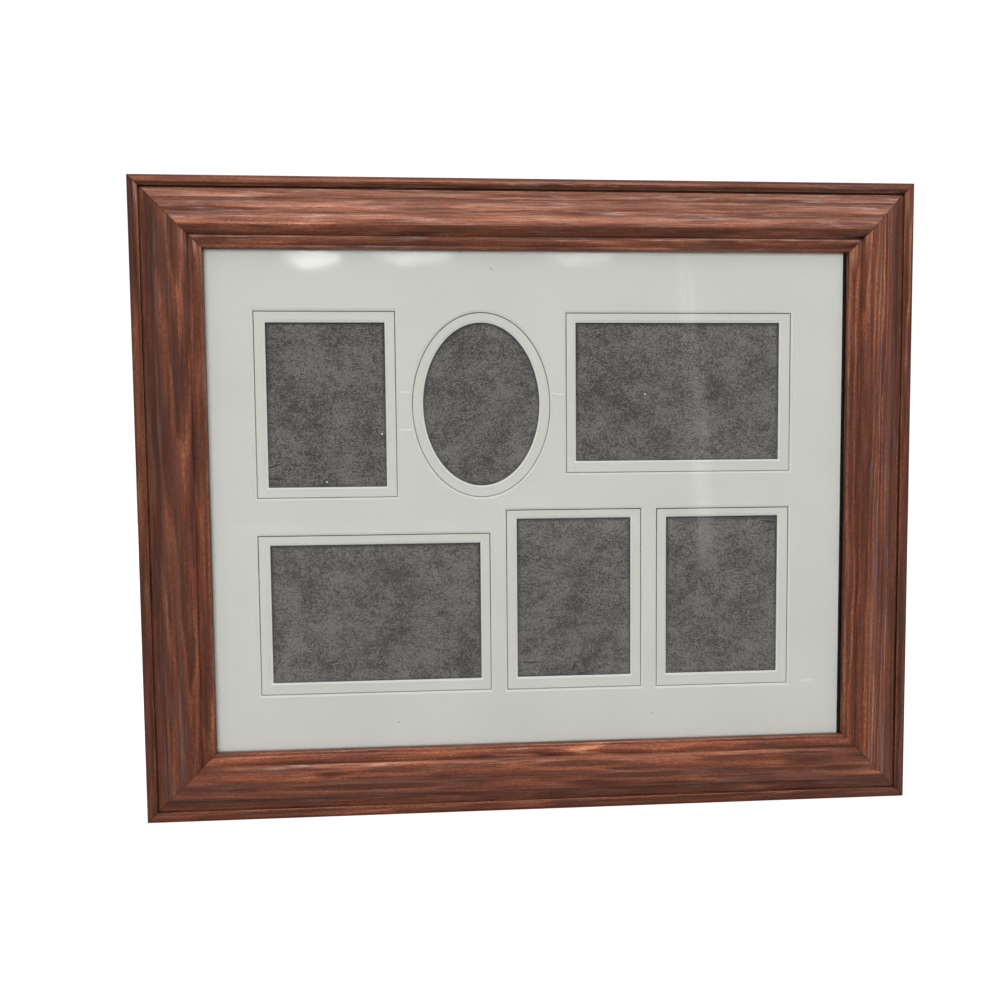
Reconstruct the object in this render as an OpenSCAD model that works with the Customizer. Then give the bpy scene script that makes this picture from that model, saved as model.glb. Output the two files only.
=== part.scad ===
// Collage photo frame: four mitred moulded pine rails, glass, a double bevelled mat with
// six windows, a grey backing sheet, filler card, and a hardboard back held by turn buttons.
// Front faces -Y, +X is to the right, +Z is up. The origin is the middle notch of the
// sawtooth hanger, on the plane of the rails' backs.

/* [Glazing] */
// Width of the glass and of the boards behind it
glass_w = 457; // [400:1:600]
// Height of the glass and of the boards behind it
glass_h = 356; // [310:1:480]
// Thickness of the glass
glass_t = 2; // [1.5:0.1:4]
// Gap between the glass edge and the rebate wall, on every side
glazing_gap = 1; // [0.5:0.1:2]
// Width of the lip that covers the edge of the glass
lip_w = 6.5; // [4:0.5:8]

/* [Mats] */
// Thickness of one sheet of mat board
mat_t = 1.4; // [0.8:0.1:3]
// How much narrower than the glass both mats were cut
mat_short = 6.2; // [0:0.1:8]
// Gap left between the mats and the rebate's left and lower walls, where they rest
mat_gap = 0.1; // [0.1:0.1:0.8]
// Width of a portrait window and of the oval, in the under mat
portrait_w = 81.5; // [60:0.1:100]
// Height of a portrait window and of the oval, in the under mat
portrait_h = 113.5; // [90:0.1:120]
// Width of a landscape window, in the under mat
landscape_w = 146.3; // [120:0.1:160]
// Height of a landscape window, in the under mat
landscape_h = 97; // [70:0.1:120]
// Gap between neighbouring windows in a row
window_gap = 25.8; // [22:0.1:32]
// Gap between the two rows of portrait windows
row_gap = 23.8; // [20:0.1:30]
// Border of the under mat that shows round each window
reveal = 7.6; // [5:0.1:8.5]

/* [Boards] */
// Thickness of the grey backing sheet that shows through the windows
sheet_t = 1; // [0.5:0.1:2]
// Thickness of the filler card
filler_t = 2.7; // [1.5:0.1:4]
// Thickness of the hardboard back panel
panel_t = 3; // [2:0.1:5]

/* [Moulding] */
// Width of the small bead at the sight edge
sight_bead_w = 1.8; // [1.5:0.1:3]
// Width of the second bead
second_bead_w = 6.8; // [5:0.1:8]
// Width of the torus from its foot up to its crest
torus_rise_w = 6.7; // [5:0.1:9]
// Width of the torus from its crest down to the ledge
torus_fall_w = 8.7; // [7:0.1:11]
// Width of the round that falls from the ledge
round_w = 10.8; // [8:0.1:13]
// Width of the shallow cove
cove_w = 6.4; // [5:0.1:8]
// Width of the quirk
quirk_w = 1.2; // [0.8:0.1:2]
// Width of the bead at the outer edge
outer_bead_w = 7.3; // [6:0.1:9]

/* [Corner nails] */
// Length of each leg of a V nail
v_leg = 7; // [5:0.5:9]
// Thickness of a V nail
v_t = 0.6; // [0.4:0.1:1]
// Depth that a V nail is driven to
v_depth = 9; // [6:0.5:10]

/* [Turn buttons] */
// Length of a turn button from its pivot to its tip
button_reach = 21; // [18:0.5:24]
// Width of a turn button round its pivot
button_w = 11; // [9:0.5:13]
// Width of a turn button at its tip
button_tip_w = 7.5; // [6:0.5:9]
// Thickness of a turn button
button_t = 1.2; // [0.8:0.1:2]
// Distance of a pivot from the rebate wall
pivot_inset = 10; // [9:0.5:12]
// Shank diameter of a turn button's screw
screw_d = 3; // [2.5:0.1:4]
// Length of the screw inside the rail
screw_len = 10; // [8:0.5:12]

/* [Hanging] */
// Length of the sawtooth hanger
hanger_len = 46; // [40:1:60]
// Height of the sawtooth hanger
hanger_h = 9; // [7:0.5:12]
// Thickness of the sawtooth hanger
hanger_t = 0.8; // [0.5:0.1:1.2]
// Room for a nail head behind the hanger's teeth
hanger_room = 2.2; // [1.5:0.1:3]
// Distance of the hanger's middle notch from the sight edge
hanger_up = 27.5; // [22:0.5:32]
// Diameter of a wall bumper
bumper_d = 11; // [8:0.5:14]

/* [Hidden] */
$fn = 64;
ARC_FACETS = 96;
OVAL_FACETS = 120;
SIDES = [-1, 1];
BUTTON_COUNT = 4 * len(SIDES);
BUTTONS = [for (i = [1:BUTTON_COUNT]) str("turn_button_", i)];

WOOD = "#7d4a35";
MAT_WHITE = "#cfd0c8";
STEEL = "#b4b6b8";
// How far a cutting shape runs past what it cuts
over = 1;
// How far two shapes of one piece run into each other
eps = 0.01;
// How far the arc of a moulding member runs into its column
arc_sink = 0.05;

// Members of the moulding from the sight edge outwards. Each has its width, its heights
// above the glass seat at its inner and outer side, and the bulge of its arc between them,
// which is negative where it hollows the wood.
MEMBERS = [
    [sight_bead_w, 4.2, 4.8, 0.35],
    [second_bead_w, 4.7, 5.4, 0.85],
    [torus_rise_w, 6, 8.85, 0.62],
    [torus_fall_w, 8.7, 5.3, 0.75],
    [round_w, 5.2, 0.5, 1.06],
    [cove_w, -0.1, -1.7, -0.2],
    [quirk_w, -2.6, -2.6, 0],
    [outer_bead_w, -0.9, -1.7, 1.15]];

// Width of the first n members
function members_w(n) = n == 0 ? 0 : MEMBERS[n - 1][0] + members_w(n - 1);
rail_w = members_w(len(MEMBERS));

// Everything that the rebate holds, from the glass to the back panel
rebate_d = glass_t + 2 * mat_t + sheet_t + filler_t + panel_t;
rebate_x = glass_w + 2 * glazing_gap;
rebate_z = glass_h + 2 * glazing_gap;
sight_x = rebate_x - 2 * lip_w;
sight_z = rebate_z - 2 * lip_w;

// Depths of the front of each layer, measured forward from the rails' backs
sheet_y = panel_t + filler_t;
under_mat_y = sheet_y + sheet_t;
top_mat_y = under_mat_y + mat_t;
glass_y = top_mat_y + mat_t;

// The mats' centre, from the middle of the rebate
mat_w = glass_w - mat_short;
mat_x = -rebate_x / 2 + mat_gap + mat_w / 2;
mat_z = -rebate_z / 2 + mat_gap + glass_h / 2;

// Windows of the under mat, from the mat's centre: outline, centre X and Z, width, height,
// and how far the same window of the top mat was cut off that centre in X and Z
row_w = 2 * portrait_w + landscape_w + 2 * window_gap;
window_top = portrait_h + row_gap / 2;
portrait_x = (row_w - portrait_w) / 2;
portrait_z = window_top - portrait_h / 2;
next_x = portrait_x - portrait_w - window_gap;
landscape_x = (row_w - landscape_w) / 2;
landscape_z = window_top - landscape_h / 2;
WINDOWS = [
    ["square", -portrait_x, portrait_z, portrait_w, portrait_h, -0.2, 0.1],
    ["oval", -next_x, portrait_z, portrait_w, portrait_h, 0, -0.6],
    ["square", landscape_x, landscape_z, landscape_w, landscape_h, 0.4, -0.8],
    ["square", -landscape_x, -landscape_z, landscape_w, landscape_h, -0.6, -0.7],
    ["square", next_x, -portrait_z, portrait_w, portrait_h, -0.1, -1.1],
    ["square", portrait_x, -portrait_z, portrait_w, portrait_h, 0.1, -1.4]];

// V nails: half the angle of the V, and how far in from both sight edges their points stand
v_angle = 32;
v_places = [11, 26];

// Screws of the turn buttons, and how far their threads bite into the wood
screw_tip = 3;
screw_point_d = 0.4;
screw_head_d = 6.4;
screw_head_h = 1.9;
screw_slot = 0.9;
screw_slot_d = 1;
pilot_bite = 0.25;
pilot_len = screw_len + screw_tip;

// Turn buttons: play under the head and round the shank, rib, and where the pivots stand.
// The spread is their distance from the rail's middle as a share of the sight length.
button_play = 0.1;
pivot_clearance = 0.08;
rib_r = 0.7 * button_t;
tip_r = button_tip_w / 2;
button_spread = 0.27;
pivot_u = lip_w + pivot_inset;

// Sawtooth hanger with its nails, and the bumpers that stand as far off the rail
tooth_pitch = 3;
tooth_d = 1.8;
tooth_count = 7;
tooth_tip = 0.4;
hanger_tab = 8;
hanger_step = 2;
hanger_nail_d = 1.3;
hanger_nail_len = 9;
hanger_nail_head_d = 3.4;
hanger_nail_head_h = 0.6;
bumper_h = hanger_room + hanger_t;
bumper_dome = 1;
bumper_inset = 14;

centre_z = -(sight_z / 2 + hanger_up);

// Rails: top, right, bottom and left, each drawn as the top rail and turned
function rail_len(r) = r % 2 == 0 ? sight_x : sight_z;
function rail_off(r) = r % 2 == 0 ? sight_z / 2 : sight_x / 2;
module on_rail(r) {
    translate([0, 0, centre_z]) rotate([0, 90 * r, 0]) translate([0, 0, rail_off(r)]) children();
}

// One member of the moulding, X outwards and Y forwards: a column with a sloping top, and
// an arc over that slope or cut into it
module member(n) {
    w = MEMBERS[n][0];
    inner = rebate_d + MEMBERS[n][1];
    outer = rebate_d + MEMBERS[n][2];
    bulge = MEMBERS[n][3];
    sink = sign(bulge) * arc_sink;
    chord = norm([w, outer - inner]);
    r = bulge == 0 ? 0 : chord * chord / (8 * bulge) + bulge / 2;
    lean = atan2(outer - inner, w);
    centre = [w / 2, (inner + outer) / 2] + (r - bulge) * [sin(lean), -cos(lean)];
    translate([members_w(n), 0]) {
        difference() {
            polygon([[0, 0], [w, 0], [w, outer - sink], [0, inner - sink]]);
            if (bulge < 0) translate(centre) circle(abs(r), $fn = ARC_FACETS);
        }
        if (bulge > 0) intersection() {
            translate(centre) circle(r, $fn = ARC_FACETS);
            square([w, 2 * rebate_d]);
        }
    }
}

// Cross-section of a rail, with the rebate behind the lip
module rail_profile() {
    difference() {
        union() {
            for (n = [0:len(MEMBERS) - 1]) member(n);
        }
        translate([-over, -over]) square([lip_w + over, rebate_d + over]);
    }
}

// A rail along X from its sight edge at Z = 0 outwards, its ends cut to 45 degrees
module mitred_rail(sight_len) {
    half = sight_len / 2;
    out = rail_w + over;
    whole = sight_len + 2 * out;
    intersection() {
        rotate([180, -90, 0]) linear_extrude(whole, center = true) rail_profile();
        rotate([90, 0, 0]) linear_extrude(whole, center = true)
            polygon([[-half + over, -over], [half - over, -over], [half + out, out], [-half - out, out]]);
    }
}

// Outline of a V nail with its point towards -X and its middle on the X axis
module v_outline() {
    point = v_t / sin(v_angle);
    run = v_leg * cos(v_angle);
    rise = v_leg * sin(v_angle);
    polygon([[0, 0], [run, rise], [run + point, rise], [point, 0], [run + point, -rise], [run, -rise]]);
}

// The V nails of the corner at the right-hand end of a rail, or with a rise their slots
module corner_nails(r, rise = 0) {
    for (u = v_places) on_rail(r)
        translate([rail_len(r) / 2 + u, rise, u])
            rotate([90, -45, 0]) linear_extrude(v_depth + rise) v_outline();
}

// Pivots of the turn buttons on one rail, with X along the rail and Z outwards
module at_pivot(r, side) {
    on_rail(r) translate([side * button_spread * rail_len(r), 0, pivot_u]) children();
}

// A rod along Y, from the rails' backs backwards (+Y) for a positive length
module rod(d, from, len) {
    translate([0, from, 0]) rotate([-90, 0, 0]) cylinder(d = d, h = len);
}

module rail(r) {
    color(WOOD) difference() {
        on_rail(r) mitred_rail(rail_len(r));
        corner_nails(r, over);
        corner_nails((r + 3) % 4, over);
        for (side = SIDES) at_pivot(r, side)
            rod(screw_d - 2 * pilot_bite, -pilot_len, pilot_len + over);
        if (r == 0) for (side = SIDES) at_hanger_nail(side)
            rod(hanger_nail_d, -hanger_nail_len, hanger_nail_len + over);
    }
}

module corner_v_nails() {
    color(STEEL) for (r = [0:3]) corner_nails(r);
}

// A board of the rebate's stack, of width w and thickness t, its back y forward of the
// rails' backs and its centre at X and Z from the middle of the rebate
module board(w, t, y, x = 0, z = 0) {
    translate([x - w / 2, -y - t, centre_z + z - glass_h / 2]) cube([w, t, glass_h]);
}

module glass() {
    color("#dfe8e6", 0.35) board(glass_w, glass_t, glass_y);
}

// A slot w wide at the mat's back that widens at 45 degrees to the front, and len long
module bevelled_slot(w, len) {
    deep = mat_t + over;
    linear_extrude(len + 2 * (deep + over), center = true) polygon([
        [-w / 2 + over, over],
        [w / 2 - over, over],
        [w / 2 + deep, -deep],
        [-w / 2 - deep, -deep]]);
}

// A straight-sided window with a 45 degree bevel, w by h at the mat's back
module square_cut(w, h) {
    intersection() {
        bevelled_slot(w, h);
        rotate([0, 90, 0]) bevelled_slot(h, w);
    }
}

// An oval window with a 45 degree bevel, w by h at the mat's back
module oval_cut(w, h) {
    deep = mat_t + 2 * over;
    small = [w - 2 * over, h - 2 * over];
    flare = [for (size = small) (size + 2 * deep) / size];
    translate([0, over, 0]) rotate([90, 0, 0]) linear_extrude(deep, slices = 1, scale = flare)
        scale(small / 2) circle(1, $fn = OVAL_FACETS);
}

// A mat board with its windows cut border wider on every side, and slipped or not
module mat(y, border, slip) {
    color(MAT_WHITE) difference() {
        board(mat_w, mat_t, y, mat_x, mat_z);
        for (win = WINDOWS)
            translate([mat_x + win[1] + slip * win[5], -y, centre_z + mat_z + win[2] + slip * win[6]])
                if (win[0] == "oval") oval_cut(win[3] + 2 * border, win[4] + 2 * border);
                else square_cut(win[3] + 2 * border, win[4] + 2 * border);
    }
}

module top_mat() {
    mat(top_mat_y, reveal, 1);
}

module under_mat() {
    mat(under_mat_y, 0, 0);
}

module backing_sheet() {
    color("#5b5b5b") board(glass_w, sheet_t, sheet_y);
}

module filler_board() {
    color("#b08d62") board(glass_w, filler_t, panel_t);
}

module back_panel() {
    color("#8a6a4c") board(glass_w, panel_t, 0);
}

// Outline of a turn button: two rounds joined by their common tangents, the tip towards -Z
module button_outline() {
    r = button_w / 2;
    reach = button_reach - tip_r;
    lean = asin((r - tip_r) / reach);
    circle(r);
    translate([0, -reach]) circle(tip_r);
    polygon([
        [r * cos(lean), -r * sin(lean)],
        [tip_r * cos(lean), -reach - tip_r * sin(lean)],
        [-tip_r * cos(lean), -reach - tip_r * sin(lean)],
        [-r * cos(lean), -r * sin(lean)]]);
}

// A turn button with a raised finger rib, its pivot at the origin on the rail's back
module turn_button() {
    rib_from = screw_head_d / 2 + 2 * rib_r;
    rib_len = button_reach - tip_r - rib_from;
    translate([0, button_play, 0]) difference() {
        union() {
            rotate([-90, 0, 0]) linear_extrude(button_t) mirror([0, 1]) button_outline();
            translate([0, button_t, -rib_from]) {
                sphere(rib_r);
                rotate([180, 0, 0]) cylinder(r = rib_r, h = rib_len);
                translate([0, 0, -rib_len]) sphere(rib_r);
            }
        }
        rod(screw_d + 2 * pivot_clearance, -over, button_t + 2 * over);
    }
}

// Buttons are numbered clockwise from the top left, seen from the front
module numbered_button(i) {
    r = floor((i - 1) / len(SIDES));
    color(STEEL) at_pivot(r, SIDES[(i - 1) % len(SIDES)]) turn_button();
}

// A pan-head wood screw: straight shank, pointed end, domed head with a cross recess
module screw() {
    head_y = button_t + 2 * button_play;
    dome_r = (pow(screw_head_d / 2, 2) + pow(screw_head_h, 2)) / (2 * screw_head_h);
    rod(screw_d, -screw_len, screw_len + head_y + eps);
    translate([0, -screw_len, 0]) rotate([90, 0, 0])
        cylinder(d1 = screw_d, d2 = screw_point_d, h = screw_tip);
    translate([0, head_y, 0]) difference() {
        intersection() {
            rod(screw_head_d, 0, screw_head_h);
            translate([0, screw_head_h - dome_r, 0]) sphere(dome_r);
        }
        for (turn = [0, 90]) rotate([0, turn, 0])
            translate([-screw_head_d / 4, screw_head_h - screw_slot_d, -screw_slot / 2])
                cube([screw_head_d / 2, screw_slot_d + over, screw_slot]);
    }
}

module turn_button_screws() {
    color(STEEL) for (r = [0:3], side = SIDES) at_pivot(r, side) screw();
}

module at_hanger_nail(side) {
    translate([side * (hanger_len - hanger_tab) / 2, 0, hanger_h / 2 - tooth_d]) children();
}

// A strip bent to stand off the rail, with teeth in its lower edge
module sawtooth_hanger() {
    half = hanger_len / 2;
    tab = half - hanger_tab;
    rise = hanger_room;
    flat = tab - hanger_step;
    up = rise + hanger_t;
    last = (tooth_count - 1) / 2;
    notch = (tooth_pitch - tooth_tip) / 2;
    color(STEEL) difference() {
        translate([0, 0, -tooth_d]) linear_extrude(hanger_h) polygon([
            [-half, 0], [-tab, 0], [-flat, rise], [flat, rise], [tab, 0], [half, 0],
            [half, hanger_t], [tab + hanger_t / 2, hanger_t], [flat + hanger_t / 2, up],
            [-flat - hanger_t / 2, up], [-tab - hanger_t / 2, hanger_t], [-half, hanger_t]]);
        translate([0, up + over, 0]) rotate([90, 0, 0]) linear_extrude(hanger_t + 2 * over)
            for (i = [-last:last]) translate([i * tooth_pitch, 0]) {
                polygon([[0, 0], [-notch, -tooth_d], [notch, -tooth_d]]);
                translate([-notch, -tooth_d - over]) square([2 * notch, over + eps]);
            }
        for (side = SIDES) at_hanger_nail(side) rod(hanger_nail_d, -over, hanger_t + 2 * over);
    }
}

module hanger_nails() {
    color(STEEL) for (side = SIDES) at_hanger_nail(side) {
        rod(hanger_nail_d, -hanger_nail_len, hanger_nail_len + hanger_t + eps);
        rod(hanger_nail_head_d, hanger_t, hanger_nail_head_h);
    }
}

// Soft pads on the lower corners, as thick as the hanger stands off
module wall_bumpers() {
    flat_r = bumper_d / 2 - bumper_dome;
    up = rail_w - bumper_inset;
    color("#3a3a3a") for (side = SIDES)
        on_rail(2) translate([side * (rail_len(2) / 2 + up), 0, up])
            rotate([-90, 0, 0]) rotate_extrude() {
                square([bumper_d / 2, bumper_h - bumper_dome]);
                square([flat_r, bumper_h]);
                translate([flat_r, bumper_h - bumper_dome]) circle(bumper_dome);
            }
}

rail(0);  // top_rail
rail(2);  // bottom_rail
rail(3);  // left_rail
rail(1);  // right_rail
corner_v_nails();
glass();
top_mat();
under_mat();
backing_sheet();
filler_board();
back_panel();
for (i = [1:BUTTON_COUNT])
    numbered_button(i);
turn_button_screws();
sawtooth_hanger();
hanger_nails();
wall_bumpers();
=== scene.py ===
"""Looks of the collage photo frame: moulded stained pine rails, glass, a bevelled double mat,
and the boards and fittings at the back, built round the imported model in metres."""

import math

import bmesh
import bpy
import numpy as np
from mathutils import Matrix, Vector


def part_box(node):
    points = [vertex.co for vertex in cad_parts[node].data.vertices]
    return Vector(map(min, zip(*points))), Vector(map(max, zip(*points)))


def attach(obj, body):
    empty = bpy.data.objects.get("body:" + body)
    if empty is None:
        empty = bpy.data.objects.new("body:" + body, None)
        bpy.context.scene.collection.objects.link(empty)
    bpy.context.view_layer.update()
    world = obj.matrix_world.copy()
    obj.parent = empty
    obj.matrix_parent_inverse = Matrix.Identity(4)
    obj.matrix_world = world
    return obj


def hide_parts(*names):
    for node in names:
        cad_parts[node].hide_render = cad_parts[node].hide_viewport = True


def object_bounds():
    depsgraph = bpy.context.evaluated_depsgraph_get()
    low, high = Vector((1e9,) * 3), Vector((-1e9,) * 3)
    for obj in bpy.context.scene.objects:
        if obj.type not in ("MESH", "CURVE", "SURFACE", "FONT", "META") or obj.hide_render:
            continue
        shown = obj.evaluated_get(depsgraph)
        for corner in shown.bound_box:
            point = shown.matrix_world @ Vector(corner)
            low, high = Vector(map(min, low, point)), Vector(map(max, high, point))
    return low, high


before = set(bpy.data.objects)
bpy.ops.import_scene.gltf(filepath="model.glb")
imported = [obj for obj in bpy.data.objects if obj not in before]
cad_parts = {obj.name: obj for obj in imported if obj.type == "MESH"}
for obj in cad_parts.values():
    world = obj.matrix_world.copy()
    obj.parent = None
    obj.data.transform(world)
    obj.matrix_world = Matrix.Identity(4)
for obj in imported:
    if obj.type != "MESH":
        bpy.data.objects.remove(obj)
CAD_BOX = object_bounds()
MM = 0.001

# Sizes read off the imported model
TOP_LO, TOP_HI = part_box("top_rail")
BOTTOM_LO, BOTTOM_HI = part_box("bottom_rail")
GLASS_LO, GLASS_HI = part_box("glass")
RAIL_W = TOP_HI.z - TOP_LO.z
SIGHT_X = TOP_HI.x - RAIL_W
SIGHT_Z = (TOP_LO.z - BOTTOM_HI.z) / 2
CENTRE_Z = (TOP_LO.z + BOTTOM_HI.z) / 2
SEAT = -GLASS_LO.y
GLAZING_GAP = 1 * MM
LIP = GLASS_HI.x + GLAZING_GAP - SIGHT_X

# Members of the moulding from the sight edge outwards, in mm: width, heights above the glass
# seat at the inner and outer side, and the bulge of the arc between them (negative is hollow)
MEMBERS = (
    (1.8, 4.2, 4.8, 0.35),
    (6.8, 4.7, 5.4, 0.85),
    (6.7, 6.0, 8.85, 0.62),
    (8.7, 8.7, 5.3, 0.75),
    (10.8, 5.2, 0.5, 1.06),
    (6.4, -0.1, -1.7, -0.2),
    (1.2, -2.6, -2.6, 0.0),
    (7.3, -0.9, -1.7, 1.15),
)


# Node trees

# A mark's mask reaches through any depth, and falls off over the outer part of its oval
ANY_DEPTH = 1000
MARK_EDGE = 2.5

# Noises drawn out along the wood: how fast each changes along and across the grain per mm, its
# detail and roughness, and the axes on which a rail's own shift moves it
GRAINS = {
    "wander": (0.008, 0.05, 2, 0.5, (1, 0, 0)),
    "wobble": (0.05, 0.5, 3, 0.5, (0, 1, 0)),
    "patch": (0.012, 0.09, 2, 0.5, (0, 0, 1)),
    "drift": (0.010, 0.13, 2, 0.5, (1, 1, 0)),
    "streak": (0.016, 0.55, 3, 0.6, (0, 1, 1)),
    "fibre": (0.045, 2.0, 4, 0.7, (1, 0, 1)),
    "flame_edge": (0.03, 0.2, 2, 0.5, (0, 0, 0)),
    "wear": (0.06, 0.3, 3, 0.5, (0, 0, 0)),
    "speck": (0.45, 1.5, 3, 0.8, (1, 0, 0)),
    "wave": (0.03, 0.15, 2, 0.5, (0, 0, 0)),
    "rub": (0.012, 0.3, 3, 0.5, (0, 1, 0)),
    "varnish": (0.03, 0.3, 3, 0.65, (1, 0, 1)),
    "raw_fibre": (0.04, 2.0, 4, 0.6, (0, 0, 0)),
    "smear": (0.05, 0.2, 4, 0.5, (0, 0, 0)),
}


class Nodes:
    """The node tree of one material, or of a world. Each method adds a node and returns the
    socket to use next."""

    def __init__(self, name, world=False):
        self.data = (bpy.data.worlds if world else bpy.data.materials).new(name)
        self.output = "OutputWorld" if world else "OutputMaterial"
        self.data.use_nodes = True
        self.tree = self.data.node_tree
        self.tree.nodes.clear()

    def node(self, kind, inputs=None, **settings):
        made = self.tree.nodes.new("ShaderNode" + kind)
        for key, value in settings.items():
            setattr(made, key, value)
        for key, value in (inputs or {}).items():
            self.feed(made.inputs[key], value)
        return made

    def feed(self, socket, value):
        if isinstance(value, bpy.types.NodeSocket):
            self.tree.links.new(value, socket)
        elif socket.type == "RGBA" and len(value) == 3:
            socket.default_value = (*value, 1)
        else:
            socket.default_value = value

    def place(self, scale=(1, 1, 1), turn=(0, 0, 0)):
        """The point on the surface in millimetres of the object's own axes, then scaled."""
        point = self.node("TexCoord").outputs["Object"]
        size = [s / MM for s in scale]
        inputs = {"Vector": point, "Scale": size, "Rotation": turn}
        return self.node("Mapping", inputs).outputs[0]

    def stretch(self, point, scale, shift=(0, 0, 0)):
        """The point scaled and then moved, which draws a pattern out along the low scales."""
        inputs = {"Vector": point, "Scale": scale, "Location": shift}
        return self.node("Mapping", inputs).outputs[0]

    def noise(self, point, scale=1.0, detail=2.0, rough=0.5, distortion=0.0, colour=False):
        inputs = {"Vector": point, "Scale": scale, "Detail": detail,
                  "Roughness": rough, "Distortion": distortion}
        made = self.node("TexNoise", inputs)
        return made.outputs["Color" if colour else "Fac"]

    def grain(self, point, kind, shift=0.0, colour=False):
        """One of the noises in GRAINS, moved by the rail's own shift."""
        along, across, detail, rough, axes = GRAINS[kind]
        drawn = self.stretch(point, (along, across, across), [shift * axis for axis in axes])
        return self.noise(drawn, detail=detail, rough=rough, colour=colour)

    def math(self, operation, a, b=0.0, c=0.0, clamp=False):
        made = self.node("Math", {0: a, 1: b, 2: c}, operation=operation, use_clamp=clamp)
        return made.outputs[0]

    def vector(self, operation, a, b=(0, 0, 0)):
        made = self.node("VectorMath", {0: a, 1: b}, operation=operation)
        return made.outputs["Value" if operation == "LENGTH" else "Vector"]

    def axis(self, point, name):
        return self.node("SeparateXYZ", {0: point}).outputs[name]

    def ramp(self, factor, *stops, smooth=False):
        """A colour ramp through (position, grey or colour) stops."""
        made = self.node("ValToRGB", {0: factor})
        made.color_ramp.interpolation = "EASE" if smooth else "LINEAR"
        points = made.color_ramp.elements
        while len(points) < len(stops):
            points.new(0.5)
        for point, (position, value) in zip(points, stops):
            point.position = position
            colour = (value,) * 3 if isinstance(value, (int, float)) else value
            point.color = (*colour, 1)
        return made.outputs[0]

    def blend(self, factor, a, b, how="MIX"):
        made = self.node("Mix", data_type="RGBA", blend_type=how)
        for index, value in ((0, factor), (6, a), (7, b)):
            self.feed(made.inputs[index], value)
        return made.outputs[2]

    def mark(self, point, start, end, width):
        """1 along a straight mark between two places (x, z) in mm, 0 beside it."""
        run = (end[0] - start[0], end[1] - start[1])
        middle = ((start[0] + end[0]) / 2, 0, (start[1] + end[1]) / 2)
        inputs = {"Vector": point, "Location": middle,
                  "Rotation": (0, -math.atan2(run[1], run[0]), 0),
                  "Scale": (math.hypot(*run) / 2 + width, ANY_DEPTH, width)}
        local = self.node("Mapping", inputs, vector_type="TEXTURE").outputs[0]
        reach = self.vector("LENGTH", local)
        return self.math("MULTIPLY_ADD", reach, -MARK_EDGE, MARK_EDGE, clamp=True)

    def marked(self, colour, point, marks, width, tint, strength=1.0):
        """The colour with straight marks in the tint."""
        for start, end in marks:
            share = self.math("MULTIPLY", self.mark(point, start, end, width), strength)
            colour = self.blend(share, colour, tint)
        return colour

    def dotted(self, colour, point, places, width, tint):
        """The colour with specks in the tint, which are marks of no length."""
        return self.marked(colour, point, [(place, place) for place in places], width, tint)

    def bump(self, height, depth_mm, normal=None):
        inputs = {"Height": height, "Distance": depth_mm * MM, "Strength": 1.0}
        if normal:
            inputs["Normal"] = normal
        return self.node("Bump", inputs).outputs[0]

    def finish(self, shader):
        self.node(self.output, {"Surface": shader})
        return self.data

    def surface(self, colour, rough, normal=None, **extra):
        """Ends the tree in a Principled shader. Extra inputs go by their names with _ for space."""
        inputs = {"Base Color": colour, "Roughness": rough}
        if normal:
            inputs["Normal"] = normal
        inputs.update({key.replace("_", " "): value for key, value in extra.items()})
        return self.finish(self.node("BsdfPrincipled", inputs).outputs[0])


# Materials

# Figure of each rail: the pith's depth and place across the rail at its middle in mm, its
# slopes along the rail, the ring spacing in mm, and a shift that makes the rail's noises its own
FIGURES = {
    "top_rail": ((62, 34), (0.012, 0.016), 3.4, 11.0),
    "right_rail": ((40, 78), (0.004, 0.010), 3.1, 47.0),
    "bottom_rail": ((58, 20), (0.025, 0.004), 3.0, 83.0),
    "left_rail": ((66, 16), (-0.03, 0.01), 3.5, 29.0),
}

# How strongly each rail's grooves are darkened: stain pooled in them, and painted shade,
# strongest on the top rail
POOL_AND_SHADE_SHARE = {"top_rail": 1.0, "right_rail": 0.3, "bottom_rail": 0.2, "left_rail": 0.3}

# Dark pointed ovals of the grain with an orange edge, as their ends (along, across) in mm
FLAMES = {
    "bottom_rail": (
        ((62.0, 13.8), (134.0, 13.5)),
        ((-74.0, 13.8), (13.0, 13.5)),
        ((48.0, 27.5), (192.0, 26.8)),
        ((-124.0, 24.9), (-28.0, 24.4)),
        ((-244.0, 24.6), (-198.0, 24.4)),
    ),
}
FLAME_W = 3.2
FLAME_EDGE_W = 1.8 * FLAME_W
FLAME_BEND = 1.5

STAIN_DARK = (0.034, 0.0110, 0.0090)
STAIN_MID = (0.108, 0.0320, 0.0190)
STAIN_ORANGE = (0.225, 0.0740, 0.0370)
STAIN_LIGHT = (0.370, 0.1550, 0.0900)
STAIN_TONES = ((0.12, STAIN_DARK), (0.44, STAIN_MID), (0.72, STAIN_ORANGE), (1.0, STAIN_LIGHT))

# Small marks seen in the photograph, as their ends (x, z) in mm
SHEET_SCORES = (
    ((-187.4, -176.6), (-173.7, -171.9)),
    ((-184.8, -182.8), (-173.2, -183.0)),
    ((-12.1, -315.6), (7.3, -316.1)),
    ((26.8, -324.6), (29.0, -317.4)),
    ((163.9, -216.3), (177.3, -218.6)),
    ((166.2, -224.3), (177.3, -222.2)),
)
SHEET_SPECKS = ((-144.5, -185.4), (-105.9, -152.4), (79.7, -125.5))
# Pale lines on the top mat's paper: two across the necks between the windows, one lower down that
# is a painted reflection of the glass, and a scratch low on the right
MAT_PALE_LINES = (
    ((-94.2, -123.5), (-83.9, -123.6)),
    ((12.3, -124.7), (22.8, -126.1)),
    ((-97.5, -149.7), (-79.5, -149.8)),
    ((193.7, -334.1), (204.9, -332.9)),
)
MAT_SPECKS = ((-97.2, -355.7), (84.4, -354.6), (-29.0, -39.3), (-50.3, -27.8))
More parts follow.
